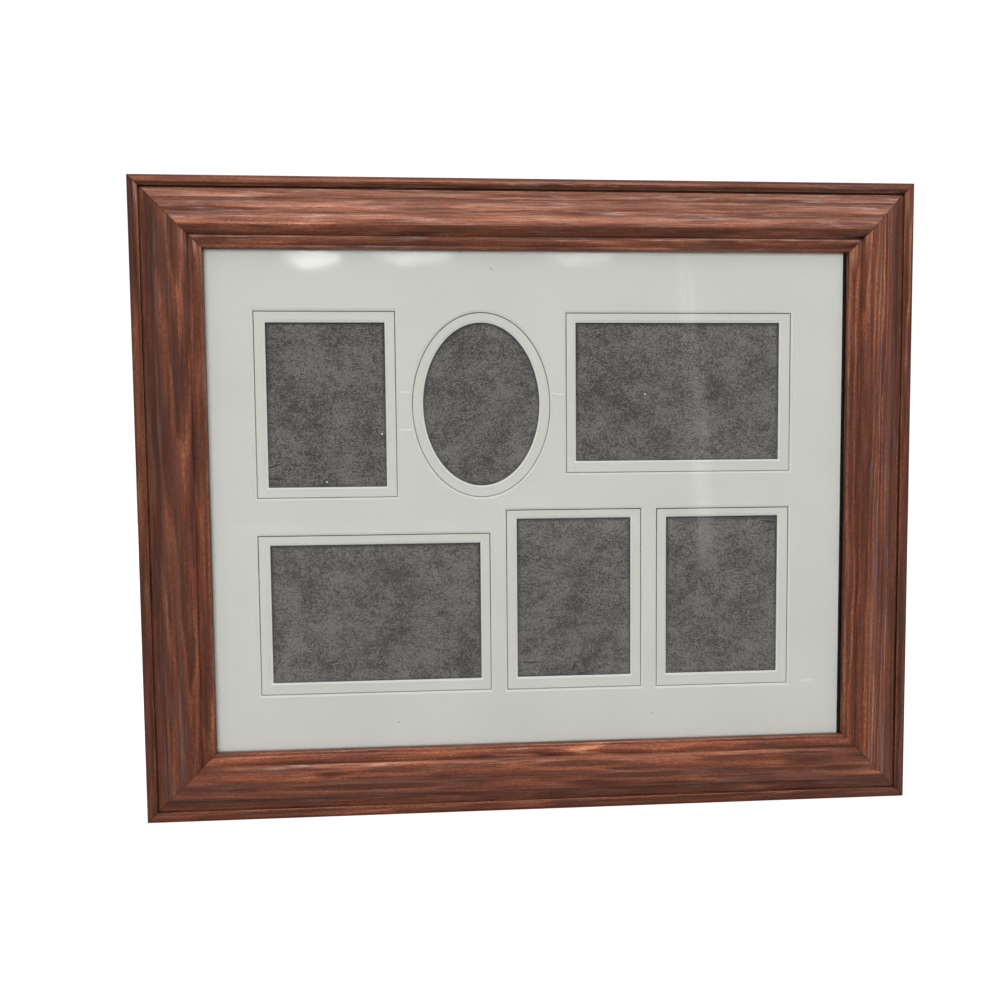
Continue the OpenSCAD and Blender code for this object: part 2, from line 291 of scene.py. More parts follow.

# How much of its colour the wood keeps at places across each rail in mm: the stain pooled in
# the flat outer member and the quirk, and was wiped off the rounds. Partly painted light and
# shade, which differs from rail to rail: the top rail darkened in its quirk and on its second
# bead and lightened on its round, the bottom rail lightened on its up-facing inner members,
# and the outer slopes of the side and bottom rails darkened
STAIN_AND_LIGHT_ACROSS = {
    "top_rail": ((0, 0.72), (4, 1.0), (7, 0.4), (13, 0.75), (18, 1.15), (22, 1.2), (24.5, 0.5),
                 (28, 0.95), (34.8, 0.85), (37, 0.65), (41.4, 0.4), (42.2, 0.1), (44.0, 0.1),
                 (45.2, 0.8), (49.7, 1.0)),
    "right_rail": ((0, 0.9), (4, 1.35), (7, 0.95), (18, 1.15), (32, 1.2), (34.8, 0.74), (40, 0.58),
                   (42.4, 0.55), (44.2, 0.45), (46, 0.9), (47.4, 0.85), (49.7, 0.35)),
    "bottom_rail": ((0, 1.3), (4.5, 1.9), (7.5, 0.95), (10, 1.15), (18, 1.5), (22, 0.95),
                    (30, 1.35), (34.8, 0.5), (40, 0.7), (42.4, 0.75), (44.2, 0.75), (46, 1.1),
                    (49.7, 0.35)),
    "left_rail": ((0, 0.82), (7, 0.72), (10, 1.15), (14, 0.8), (30, 0.86), (34.8, 0.45), (40, 0.48),
                  (42.4, 0.45), (44.2, 0.45), (46, 0.8), (47.4, 0.75), (49.7, 0.3)),
}

# How far in mm the growth rings stray from true circles, in long waves and in short ones
WANDER = 8
WOBBLE = 1.6

# Tone over one growth ring, the tone it swings about, and the streaks laid over it
RING_TONES = ((0.0, 0.35), (0.14, 0.0), (0.5, 0.35), (0.8, 0.95), (0.9, 0.9), (1.0, 0.35))
MEAN_TONE = 0.42
TONE_STREAKS = (("drift", 0.95), ("streak", 0.85), ("fibre", 0.42))
# Depth in mm of the relief that each noise leaves in the surface
WOOD_BUMPS = (("wave", 1.1), ("streak", 0.4), ("fibre", 0.10), ("speck", 0.10))
# Where across the moulding, as a share of its width, the wood goes matt and the varnish ends
MATT_RIM = ((0.92, 0.0), (0.97, 0.85))
VARNISH_RIM = ((0.9, 1.0), (0.96, 0.0))
WARM_SHINE = (1.0, 0.44, 0.28)


def growth_rings(g, point, pith, slope, spacing, shift):
    """Place within a growth ring, 0 to 1 outwards, and one random number for each ring."""
    bent = point
    for kind, stray in (("wander", WANDER), ("wobble", WOBBLE)):
        push = g.vector("SUBTRACT", g.grain(point, kind, shift, colour=True), (0.5, 0.5, 0.5))
        bent = g.vector("ADD", bent, g.vector("MULTIPLY", push, (0, stray, stray)))
    along = g.axis(bent, "X")
    offsets = {}
    for axis, start, rise in zip("YZ", pith, slope):
        offsets[axis] = g.math("MULTIPLY_ADD", along, rise,
                               g.math("SUBTRACT", g.axis(bent, axis), start))
    centre = g.node("CombineXYZ", offsets).outputs[0]
    rings = g.math("DIVIDE", g.vector("LENGTH", centre), spacing)
    number = g.math("FLOOR", rings)
    chance = g.node("TexWhiteNoise", {"W": number}, noise_dimensions="1D").outputs["Value"]
    return g.math("FRACT", rings), chance


def stained_pine(name):
    """Pine under a red-brown stain: the soft early wood takes most of it and goes darkest."""
    pith, slope, spacing, shift = FIGURES[name]
    g = Nodes("stained_pine_" + name)
    point = g.place()
    kinds = ("patch", "drift", "streak", "fibre", "wear", "speck", "wave", "rub", "varnish")
    grain = {kind: g.grain(point, kind, shift) for kind in kinds}

    ring, chance = growth_rings(g, point, pith, slope, spacing, shift)
    swing = g.math("SUBTRACT", g.ramp(ring, *RING_TONES), MEAN_TONE)
    strength = g.math("MULTIPLY", g.ramp(grain["patch"], (0.36, 0.15), (0.62, 1.0)),
                      g.math("MULTIPLY_ADD", chance, 0.7, 0.3))
    tone = g.math("MULTIPLY_ADD", swing, strength, MEAN_TONE)
    for kind, amount in TONE_STREAKS:
        tone = g.math("ADD", tone, g.math("MULTIPLY_ADD", grain[kind], amount, -amount / 2))
    colour = g.ramp(tone, *STAIN_TONES)
    bend = g.grain(point, "flame_edge", colour=True)
    bent = g.vector("ADD", point, g.vector("MULTIPLY", bend, (0, 0, FLAME_BEND)))
    flames = FLAMES.get(name, ())
    colour = g.marked(colour, bent, flames, FLAME_EDGE_W, STAIN_ORANGE, 0.8)
    colour = g.marked(colour, bent, flames, FLAME_W, STAIN_DARK, 0.85)

    relief = g.node("Attribute", attribute_name="relief").outputs["Fac"]
    # Darker in the grooves: pooled stain and painted shade
    pooled_and_shaded = g.ramp(relief, (0.0, 0.15), (0.3, 0.6), (0.46, 1.0))
    colour = g.blend(POOL_AND_SHADE_SHARE[name], colour, pooled_and_shaded, "MULTIPLY")
    width = RAIL_W / MM
    across = g.math("DIVIDE", g.axis(point, "Z"), width)
    # Stain kept across the moulding, with each rail's painted light and shade
    stain_and_light = g.ramp(across, *[(place / width, share) for place, share in STAIN_AND_LIGHT_ACROSS[name]])
    colour = g.blend(1.0, colour, stain_and_light, "MULTIPLY")
    worn = g.math("MULTIPLY", g.ramp(relief, (0.56, 0.0), (0.8, 0.5)),
                  g.ramp(grain["wear"], (0.35, 0.3), (0.6, 1.0)))
    colour = g.blend(worn, colour, STAIN_LIGHT)
    # Fine specks of the grain; the lightest, up to nearly twice as bright, are painted glints of
    # the varnish
    specks = g.ramp(grain["speck"], (0.28, 0.3), (0.5, 0.95), (0.72, 1.9))
    colour = g.blend(1.0, colour, specks, "MULTIPLY")

    normal = None
    for kind, depth in WOOD_BUMPS:
        normal = g.bump(grain[kind], depth, normal)
    rough = g.math("MAXIMUM", g.ramp(grain["rub"], (0.38, 0.2), (0.62, 0.7)),
                   g.ramp(across, *MATT_RIM))
    coat = g.math("MULTIPLY", g.ramp(grain["varnish"], (0.54, 0.0), (0.70, 0.45)),
                  g.ramp(across, *VARNISH_RIM))
    return g.surface(colour, rough, normal, Specular_IOR_Level=0.5, Specular_Tint=WARM_SHINE,
                     Coat_Weight=coat, Coat_Roughness=0.2, Coat_Normal=normal)


RAW_FIGURE = ((70, 22), (0.02, 0.01), 3.2, 5.0)
RAW_LIGHT = (0.62, 0.42, 0.24)
RAW_MID = (0.56, 0.35, 0.18)
RAW_LATE = (0.40, 0.20, 0.085)
SMEAR_REACH = 0.34


def raw_pine():
    """Bare pine of the rails' backs and rebates, with stain that ran over the edges."""
    g = Nodes("raw_pine")
    point = g.place()
    ring, _ = growth_rings(g, point, *RAW_FIGURE)
    colour = g.ramp(ring, (0.0, RAW_LIGHT), (0.6, RAW_MID), (0.93, RAW_LATE), (1.0, RAW_LIGHT))
    fibre = g.grain(point, "raw_fibre")
    colour = g.blend(1.0, colour, g.ramp(fibre, (0.3, 0.82), (0.7, 1.12)), "MULTIPLY")
    outer = g.math("MULTIPLY", g.axis(point, "Z"), MM / RAIL_W)
    stray = g.math("MULTIPLY_ADD", g.grain(point, "smear"), SMEAR_REACH, -SMEAR_REACH / 2)
    smear = g.math("ADD", outer, stray)
    colour = g.blend(g.ramp(smear, (0.9, 0.0), (0.985, 0.85)), colour, STAIN_MID)
    return g.surface(colour, 0.72, g.bump(fibre, 0.08), Specular_IOR_Level=0.3)


FOXING = (0.30, 0.25, 0.17)
PALE_LINE_WHITE = (0.87, 0.865, 0.83)
PALE_LINE_W = 0.9
SPECK_BROWN = (0.2, 0.18, 0.15)
SPECK_W = 0.6


def mat_paper(name, tint, pale_lines=(), specks=()):
    """Uncoated off-white face paper with faint fibres, a little foxing, pale lines and specks."""
    g = Nodes(name)
    point = g.place()
    cloud = g.noise(point, scale=0.012, detail=3)
    fibres = g.noise(g.stretch(point, (0.9, 0.9, 0.9)), detail=4, rough=0.7, distortion=0.6)
    colour = g.blend(g.ramp(cloud, (0.35, 0.0), (0.65, 1.0)), tint, [c * 0.955 for c in tint])
    colour = g.blend(1.0, colour, g.ramp(fibres, (0.3, 0.975), (0.7, 1.02)), "MULTIPLY")
    foxing = g.noise(point, scale=0.55, detail=1)
    colour = g.blend(g.ramp(foxing, (0.79, 0.0), (0.83, 0.5)), colour, FOXING)
    # Pale lines, one of them a painted reflection of the glass
    colour = g.marked(colour, point, pale_lines, PALE_LINE_W, PALE_LINE_WHITE, 0.7)
    colour = g.dotted(colour, point, specks, SPECK_W, SPECK_BROWN)
    return g.surface(colour, 0.8, g.bump(fibres, 0.03), Specular_IOR_Level=0.25)


def mat_core(name, dark, light):
    """Cut core of a board at its bevels, whiter than the paper, with fine knife marks."""
    g = Nodes(name)
    marks = g.noise(g.place(), scale=2.2, detail=3, rough=0.7)
    return g.surface(g.ramp(marks, (0.3, dark), (0.7, light)), 0.85, g.bump(marks, 0.05),
                     Specular_IOR_Level=0.2)


GAP_PALE = (0.42, 0.41, 0.36)
GAP_BLACK = (0.035, 0.033, 0.028)


def mat_gap():
    """Grime and shade in the fine gap at the foot of the top mat's bevels."""
    g = Nodes("mat_gap")
    dirt = g.noise(g.place(), scale=0.3, detail=4, rough=0.7)
    # Painted shade over the dirt, darkest under a window's top edge and paler at its foot
    grime_and_shade = g.node("Attribute", attribute_name="grime_and_shade").outputs["Fac"]
    amount = g.math("MULTIPLY_ADD", dirt, 0.9, g.math("SUBTRACT", grime_and_shade, 0.45), clamp=True)
    return g.surface(g.ramp(amount, (0.2, GAP_PALE), (0.95, GAP_BLACK)), 0.9)


SHEET_TONES = ((0.66, (0.019, 0.0170, 0.0155)), (0.965, (0.078, 0.0715, 0.0660)),
               (1.28, (0.195, 0.181, 0.167)))
SCORE_BLACK = (0.008, 0.008, 0.008)
SCORE_W = 0.55
LINT_WHITE = (0.75, 0.74, 0.70)
LINT_W = 0.8
SHADE_BLACK = (0.006, 0.006, 0.006)


def grey_sheet():
    """Dark grey pressed-fibre sheet, mottled at several sizes, with a few scores and specks."""
    g = Nodes("grey_sheet")
    point = g.place()
    drawn = g.stretch(point, (0.6, 1, 1))
    cloud = g.noise(point, scale=0.05, detail=3, rough=0.6)
    patch = g.noise(drawn, scale=0.2, detail=3, rough=0.6)
    fleck = g.noise(drawn, scale=0.8, detail=1)
    grain = g.noise(g.stretch(point, (0.75, 1, 1)), scale=1.6, detail=1, rough=0.8)
    tone = grain
    for factor, share in ((cloud, 0.4), (patch, 0.28), (fleck, 0.25)):
        tone = g.math("MULTIPLY_ADD", factor, share, tone)
    colour = g.ramp(tone, *SHEET_TONES)
    colour = g.marked(colour, point, SHEET_SCORES, SCORE_W, SCORE_BLACK)
    colour = g.dotted(colour, point, SHEET_SPECKS, LINT_W, LINT_WHITE)
    # Painted shade along the edges of the mat's windows, darkest under their top edges
    shade = g.node("Attribute", attribute_name="grime_and_shade").outputs["Fac"]
    colour = g.blend(shade, colour, SHADE_BLACK)
    return g.surface(colour, 0.9, g.bump(grain, 0.1), Specular_IOR_Level=0.15)


GLASS_IOR = 1.5
GLASS_TINT = (0.97, 0.975, 0.97)
GLASS_SHINE = 0.6


def clear_glass():
    """Clear pane: what is behind shows through, and both faces' reflections lie on top."""
    g = Nodes("clear_glass")
    smudge = g.noise(g.place(scale=(1, 1, 0.5)), scale=0.03, detail=4, rough=0.6)
    rough = g.ramp(smudge, (0.4, 0.02), (0.75, 0.06))
    clear = g.node("BsdfTransparent", {"Color": GLASS_TINT}).outputs[0]
    gloss = g.node("BsdfGlossy", {"Color": (1, 1, 1), "Roughness": rough}).outputs[0]
    front = g.math("SUBTRACT", 1.0, g.node("NewGeometry").outputs["Backfacing"])
    mirrored = g.node("Fresnel", {"IOR": GLASS_IOR}).outputs[0]
    amount = g.math("MULTIPLY", g.math("MULTIPLY", mirrored, GLASS_SHINE), front, clamp=True)
    shadow = g.math("SUBTRACT", 1.0, g.node("LightPath").outputs["Is Shadow Ray"])
    amount = g.math("MULTIPLY", amount, shadow)
    return g.finish(g.node("MixShader", {0: amount, 1: clear, 2: gloss}).outputs[0])


HARDBOARD_TONES = ((0.35, (0.12, 0.058, 0.026)), (0.65, (0.25, 0.135, 0.065)))
SCUFF_PALE = (0.38, 0.25, 0.15)


def hardboard():
    """Smooth side of brown hardboard: pressed fibres, darker blotches and a few scuffs."""
    g = Nodes("hardboard")
    point = g.place()
    cloud = g.noise(point, scale=0.02, detail=4)
    fibre = g.noise(point, scale=0.8, detail=5, rough=0.75, distortion=1.5)
    tone = g.math("MULTIPLY_ADD", cloud, 0.5, g.math("MULTIPLY", fibre, 0.5))
    colour = g.ramp(tone, *HARDBOARD_TONES)
    scuff = g.noise(g.place(scale=(0.02, 1, 0.35), turn=(0, 0.6, 0)), detail=3, rough=0.7)
    colour = g.blend(g.ramp(scuff, (0.7, 0.0), (0.78, 0.35)), colour, SCUFF_PALE)
    rough = g.ramp(fibre, (0.3, 0.42), (0.7, 0.6))
    return g.surface(colour, rough, g.bump(fibre, 0.04), Specular_IOR_Level=0.4)


CARD_TONES = ((0.3, (0.33, 0.21, 0.11)), (0.7, (0.47, 0.32, 0.18)))


def brown_card():
    """Brown card, drawn out a little along its length."""
    g = Nodes("brown_card")
    point = g.place()
    fibre = g.noise(g.stretch(point, (0.3, 1.2, 0.9)), detail=4, rough=0.7)
    colour = g.ramp(fibre, *CARD_TONES)
    return g.surface(colour, 0.9, g.bump(fibre, 0.05))


DRAW_LINES = (0.3, 1.0, 2.5)


def plated(name, dark, light):
    """Thin plating on pressed steel, with fine draw lines and cloudy tarnish."""
    g = Nodes(name)
    point = g.place()
    lines = g.noise(g.stretch(point, DRAW_LINES), detail=3, rough=0.6)
    tarnish = g.noise(point, scale=0.35, detail=3)
    colour = g.ramp(g.math("MULTIPLY_ADD", tarnish, 0.7, g.math("MULTIPLY", lines, 0.3)),
                    (0.35, dark), (0.62, light))
    rough = g.ramp(tarnish, (0.3, 0.28), (0.7, 0.46))
    return g.surface(colour, rough, g.bump(lines, 0.02), Metallic=1.0)


FELT_TONES = ((0.3, (0.010, 0.010, 0.011)), (0.7, (0.045, 0.045, 0.048)))


def black_felt():
    """Black fuzz of the bumpers."""
    g = Nodes("black_felt")
    point = g.place()
    fuzz = g.noise(point, scale=2.4, detail=5, rough=0.8, distortion=2.0)
    colour = g.ramp(fuzz, *FELT_TONES)
    return g.surface(colour, 0.95, g.bump(fuzz, 0.3), Sheen_Weight=0.3, Sheen_Roughness=0.5)


# Mesh helpers

def new_piece(name, bm, materials):
    """Turns a bmesh into an object with the materials as its slots."""
    mesh = bpy.data.meshes.new(name)
    bmesh.ops.recalc_face_normals(bm, faces=bm.faces)
    bm.to_mesh(mesh)
    bm.free()
    for material in materials:
        mesh.materials.append(material)
    piece = bpy.data.objects.new(name, mesh)
    bpy.context.scene.collection.objects.link(piece)
    return piece


def paint_node(material, *names):
    """Gives CAD nodes their material."""
    for name in names:
        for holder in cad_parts[name].material_slots:
            holder.material = material


# Rails

# How finely an arc is drawn and the line resampled, how far its arrises are softened, and the
# reach and span of the relief measured on it, in mm
ARC_POINTS = 40
FINE_STEP = 0.08
ARRIS_SOFT = 0.22
RELIEF_REACH = 0.9
RELIEF_SPAN = 1.2
# The section gets a point at least every so many mm or so much turn
POINT_EVERY = 1.6
TURN_EVERY = math.radians(13)
BACK_INSET = 0.05
MITRE_CHAMFER = 0.28
# Lengths that each rail is cut in along its run
STATIONS = 18
SHARP_EDGE = math.radians(50)
STAINED, RAW = 0, 1


def arc(start, end, bulge):
    """Points of an arc from start to end whose middle stands bulge off the chord."""
    start, end = np.array(start), np.array(end)
    half = math.dist(start, end) / 2
    along = (end - start) / (2 * half)
    across = np.array((-along[1], along[0]))
    place = np.linspace(-half, half, ARC_POINTS)
    rise = np.zeros(ARC_POINTS)
    if bulge:
        radius = (half ** 2 / abs(bulge) + abs(bulge)) / 2
        rise = math.copysign(1, bulge) * (np.sqrt(radius ** 2 - place ** 2) - radius) + bulge
    return (start + end) / 2 + np.outer(place, along) + np.outer(rise, across)


def member_line():
    """The moulding's face from the seat's edge over the members to the back, in mm."""
    seat = SEAT / MM
    pieces = [[(0, seat)]]
    start = 0
    for width, inner, outer, bulge in MEMBERS:
        pieces.append(arc((start, seat + inner), (start + width, seat + outer), bulge))
        start += width
    return np.vstack(pieces + [[(start, 0)]])


def evenly(line, step):
    """The same line with its points step apart."""
    gaps = np.hypot(*np.diff(line, axis=0).T)
    along = np.concatenate(([0], np.cumsum(gaps)))
    places = np.linspace(0, along[-1], int(along[-1] / step) + 1)
    return np.column_stack([np.interp(places, along, line[:, i]) for i in (0, 1)])


def softened(line, reach):
    """A Gaussian blur of the line that keeps its ends. Reach is in points."""
    n = int(3 * reach) + 1
    kernel = np.exp(-0.5 * (np.arange(-n, n + 1) / reach) ** 2)
    padded = np.pad(line, ((n, n), (0, 0)), mode="reflect", reflect_type="odd")
    kernel /= kernel.sum()
    return np.column_stack([np.convolve(padded[:, i], kernel, "valid") for i in (0, 1)])


def outward(line):
    """Unit normals of a line that runs outwards over the face, pointing off the wood."""
    run = np.gradient(line, axis=0)
    run /= np.hypot(*run.T)[:, None]
    return np.column_stack([-run[:, 1], run[:, 0]])


def face_profile():
    """Points (u, d) of the softened face in mm, their normals, and how far each stands proud
    of the form round it: 0.5 is level, 0 deep in a groove, 1 on a sharp arris."""
    line = softened(evenly(member_line(), FINE_STEP), ARRIS_SOFT / FINE_STEP)
    normals = outward(line)
    proud = ((line - softened(line, RELIEF_REACH / FINE_STEP)) * normals).sum(axis=1)
    relief = np.clip(0.5 + proud / RELIEF_SPAN, 0, 1)
    angle = np.unwrap(np.arctan2(normals[:, 1], normals[:, 0]))
    cost = FINE_STEP / POINT_EVERY + np.abs(np.diff(angle)) / TURN_EVERY
    spent = np.concatenate(([0], np.cumsum(cost)))
    wanted = np.linspace(0, spent[-1], int(spent[-1]) + 1)
    pick = sorted(set(np.searchsorted(spent, wanted).clip(0, len(line) - 1)))
    return line[pick], normals[pick], relief[pick]


def rail_sections():
    """The whole section as (u, d) in mm with its relief, and the same one drawn in at a mitre."""
    face, normals, relief = face_profile()
    lip, seat, width = LIP / MM, SEAT / MM, RAIL_W / MM
    back = np.array([(width, BACK_INSET), (lip, BACK_INSET), (lip, seat)])
    inner = face - MITRE_CHAMFER * normals
    inner[0], inner[-1] = face[0], (width, BACK_INSET)
    full = np.vstack([face[:-1], back])
    drawn = np.vstack([inner[:-1], back])
    return full, drawn, np.concatenate([relief[:-1], np.full(len(back), 0.5)]), len(face)


def rail(name, turn):
    """One mitred rail, drawn along its own X with Z outwards from the sight edge, then turned."""
    half, offset = (SIGHT_X, SIGHT_Z) if turn % 2 == 0 else (SIGHT_Z, SIGHT_X)
    full, drawn, relief, face_count = rail_sections()
    middle = [(share, full, 0) for share in np.linspace(-1, 1, STATIONS + 1)[1:-1]]
    stations = [(-1, drawn, 0), (-1, full, MITRE_CHAMFER), *middle,
                (1, full, MITRE_CHAMFER), (1, drawn, 0)]
    bm = bmesh.new()
    layer = bm.verts.layers.float.new("relief")
    rings = []
    for share, section, drawn_back in stations:
        ring = []
        for (u, d), value in zip(section, relief):
            x = share * (half / MM + u) - math.copysign(drawn_back, share)
            vert = bm.verts.new((x * MM, -d * MM, u * MM))
            vert[layer] = value
            ring.append(vert)
        rings.append(ring)
    count = len(full)
    for near, far in zip(rings, rings[1:]):
        for i in range(count):
            j = (i + 1) % count
            side = bm.faces.new((near[i], near[j], far[j], far[i]))
            side.smooth = i < face_count - 1
            side.material_index = STAINED if side.smooth or i == count - 1 else RAW
    for ring in (rings[0], rings[-1]):
        bm.faces.new(ring).material_index = RAW
    piece = new_piece(name + "_moulding", bm, (stained_pine(name), RAW_PINE))
    piece.data.set_sharp_from_angle(angle=SHARP_EDGE)
    piece.matrix_world = (Matrix.Translation((0, 0, CENTRE_Z))
                          @ Matrix.Rotation(math.radians(90 * turn), 4, "Y")
                          @ Matrix.Translation((0, 0, offset)))
    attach(piece, "frame")
    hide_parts(name)


# Mats

WELD = 0.01 * MM
OVAL_POINTS = 144
# A rectangle's outline has at most this many points, and an oval's has many more
MOST_CORNERS = 8


def flat_outlines(node, y):
    """Boxes (low x, high x, low z, high z) and point counts of the outlines that bound a CAD
    node's flat face at depth y, the outer one first."""
    bm = bmesh.new()
    bm.from_mesh(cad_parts[node].data)
    bmesh.ops.remove_doubles(bm, verts=bm.verts, dist=WELD)
    flat = {f for f in bm.faces if all(abs(v.co.y - y) < WELD for v in f.verts)}
    rim = {e for e in bm.edges if sum(f in flat for f in e.link_faces) == 1}
    boxes = []
    while rim:
        todo, loop = [rim.pop()], []
        while todo:
            edge = todo.pop()
            loop.append(edge)
            near = {e for v in edge.verts for e in v.link_edges if e in rim}
            rim -= near
            todo += near
        points = {v for e in loop for v in e.verts}
        xs, zs = [v.co.x for v in points], [v.co.z for v in points]
        boxes.append((min(xs), max(xs), min(zs), max(zs), len(points)))
    bm.free()
    return sorted(boxes, key=lambda b: (b[0] - b[1]) * (b[3] - b[2]))


def outline(box, grow, y, oval):
    """Points of a rectangle or an ellipse round a box that is grown on every side."""
    x0, x1, z0, z1 = box[0] - grow, box[1] + grow, box[2] - grow, box[3] + grow
    if not oval:
        return [(x0, y, z0), (x1, y, z0), (x1, y, z1), (x0, y, z1)]
    turns = [math.tau * i / OVAL_POINTS for i in range(OVAL_POINTS)]
    cx, cz, rx, rz = (x0 + x1) / 2, (z0 + z1) / 2, (x1 - x0) / 2, (z1 - z0) / 2
    return [(cx + rx * math.cos(t), y, cz + rz * math.sin(t)) for t in turns]


def add_loop(bm, points, grime_and_shade=None):
    """A closed loop of edges. The last argument gives each vertex its amount of grime and painted
    shade from its height.
    """
    verts = [bm.verts.new(p) for p in points]
    if grime_and_shade:
        layer = bm.verts.layers.float["grime_and_shade"]
        for vert in verts:
            vert[layer] = grime_and_shade(vert.co.z)
    edges = [bm.edges.new((a, b)) for a, b in zip(verts, verts[1:] + verts[:1])]
    return verts, edges


def strip(bm, near, far, material):
    """Faces between two loops with as many points."""
    for i in range(len(near[0])):
        j = (i + 1) % len(near[0])
        bm.faces.new((near[0][i], near[0][j], far[0][j], far[0][i])).material_index = material


def fill(bm, loops, material):
    """A flat face inside the first loop and outside the others."""
    edges = [e for _, loop_edges in loops for e in loop_edges]
    made = bmesh.ops.triangle_fill(bm, edges=edges, use_beauty=True)
    for item in made["geom"]:
        if isinstance(item, bmesh.types.BMFace):
            item.material_index = material


# Share of the grime and painted shade left at a window's foot
FOOT_SHADE_SHARE = 0.33


def grime_and_shade_below(box, most):
    """Amount of grime and painted shade at a height: the most under a window's top edge, where the
    shade falls, a third at its foot.
    """
    rise = 1 - FOOT_SHADE_SHARE
    return lambda z: most * (FOOT_SHADE_SHARE + rise * ((z - box[2]) / (box[3] - box[2])) ** 2)


def is_oval(box):
    """Whether an outline's box holds an oval, by its count of points."""
    return box[4] > MOST_CORNERS


def lies_in(window, groove):
    """Whether a window lies within the groove of the window above it."""
    wide = groove[0] < window[0] < window[1] < groove[1]
    return wide and groove[2] < window[2] < groove[3]


def board_mesh(sheet, front, back, material):
    """A new bmesh with a board's outer loops and its edge faces, from a box and two depths."""
    bm = bmesh.new()
    bm.verts.layers.float.new("grime_and_shade")
    loops = [add_loop(bm, outline(sheet, 0, y, False)) for y in (front, back)]
    strip(bm, loops[0], loops[1], material)
    return bm, [loops[0]], [loops[1]]


def finish_board(bm, name, node, materials):
    """Makes the board a piece on the frame's body, in the CAD node's place."""
    piece = new_piece(name, bm, materials)
    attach(piece, "frame")
    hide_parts(node)


PAPER, CORE, GAP = 0, 1, 2
EDGE_SOFT = 0.12 * MM
GAP_W = 0.65 * MM
GAP_DEPTH = 0.7 * MM
# The shade under the mat's edge: how far into the window, and how dark
SHADE = ((0, 1), (0.8 * MM, 0.95), (1.4 * MM, 0.5), (3 * MM, 0))


def mat(node, grooves=()):
    """A mat board with bevelled windows. Grooves are the feet of the mat's bevels above it,
    along which this board shows a fine dark gap."""
    lo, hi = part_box(node)
    thick = hi.y - lo.y
    sheet, *windows = flat_outlines(node, hi.y)
    bm, fronts, backs = board_mesh(sheet, lo.y, hi.y, CORE)
    for window in windows:
        oval = is_oval(window)
        foot = add_loop(bm, outline(window, 0, hi.y, oval))
        lip = add_loop(bm, outline(window, thick - EDGE_SOFT, lo.y + EDGE_SOFT, oval))
        top = add_loop(bm, outline(window, thick + EDGE_SOFT, lo.y, oval))
        strip(bm, foot, lip, CORE)
        strip(bm, lip, top, PAPER)
        backs.append(foot)
        fronts.append(top)
        for groove in [box for box in grooves if lies_in(window, box)]:
            # The gap's grime and painted shade, darkest under the window's top edge
            grime_and_shade = grime_and_shade_below(groove, 1)
            rim = add_loop(bm, outline(groove, 0, lo.y, oval), grime_and_shade)
            bed = add_loop(bm, outline(groove, -GAP_W / 2, lo.y + GAP_DEPTH, oval), grime_and_shade)
            inner = add_loop(bm, outline(groove, -GAP_W, lo.y, oval), grime_and_shade)
            strip(bm, rim, bed, GAP)
            strip(bm, bed, inner, GAP)
            fill(bm, [inner, top], PAPER)
            fronts[-1] = rim
    fill(bm, backs, PAPER)
    fill(bm, fronts, PAPER)
    finish_board(bm, node + "_board", node, MAT_MATERIALS[node])
    return windows


def backing_sheet(windows):
    """The grey sheet, with the shade that lies on it along the edges of the mat's windows."""
    lo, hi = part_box("backing_sheet")
    bm, fronts, backs = board_mesh((lo.x, hi.x, lo.z, hi.z), lo.y, hi.y, 0)
    # The sheet's outer edges get the full painted shade
    for vert in bm.verts:
        vert[bm.verts.layers.float["grime_and_shade"]] = 1
    for window in windows:
        oval = is_oval(window)
        loops = [add_loop(bm, outline(window, -inset, lo.y, oval), grime_and_shade_below(window, share))
                 for inset, share in SHADE]
        for near, far in zip(loops, loops[1:]):
            strip(bm, near, far, 0)
        fill(bm, [loops[-1]], 0)
        fronts.append(loops[0])
    fill(bm, fronts, 0)
    fill(bm, backs, 0)
    finish_board(bm, "grey_backing_sheet", "backing_sheet", (grey_sheet(),))


# Stage, lights and camera

FLOOR_DROP = 0.5 * MM
FLOOR_Z = CAD_BOX[0][2] - FLOOR_DROP
STAGE_REACH = 6.0
STAGE_HEIGHT = 5.0
STAGE_BEND = 1.2
BEND_STEPS = 12
STAGE_PALE = ((0.0, 0.58), (1.0, 0.62))
STAGE_GLOW = 0.88


def seen_ray(g):
    """1 where the camera sees something straight on, through glass or in a reflection."""
    rays = g.node("LightPath").outputs
    straight = g.math("MAXIMUM", rays["Is Camera Ray"], rays["Is Transmission Ray"])
    return g.math("MAXIMUM", straight, rays["Is Glossy Ray"])


def white_stage():
    """Pale floor and backdrop that the camera sees as white where nothing shades them."""
    g = Nodes("white_stage")
    grain = g.noise(g.node("TexCoord").outputs["Object"], scale=30.0, detail=2)
    matt = g.node("BsdfDiffuse", {"Color": g.ramp(grain, *STAGE_PALE)}).outputs[0]
    strength = g.math("MULTIPLY", seen_ray(g), STAGE_GLOW)
    glow = g.node("Emission", {"Color": (1, 1, 1), "Strength": strength})
    return g.finish(g.node("AddShader", {0: matt, 1: glow.outputs[0]}).outputs[0])


def stage():
    """A sweep: a flat floor that reaches well in front and curves up into a backdrop behind."""
    section = [(-STAGE_REACH, 0.0)]
    for i in range(BEND_STEPS + 1):
        t = math.radians(90 * i / BEND_STEPS)
        run = STAGE_REACH - STAGE_BEND + STAGE_BEND * math.sin(t)
        section.append((run, STAGE_BEND - STAGE_BEND * math.cos(t)))
    section.append((STAGE_REACH, STAGE_HEIGHT))
    bm = bmesh.new()
    rows = [[bm.verts.new((x, y, z)) for y, z in section] for x in (-STAGE_REACH, STAGE_REACH)]
    for i in range(len(section) - 1):
        corners = (rows[0][i], rows[1][i], rows[1][i + 1], rows[0][i + 1])
        bm.faces.new(corners).smooth = True
    sweep = new_piece("sweep", bm, (white_stage(),))
    sweep.location.z = FLOOR_Z


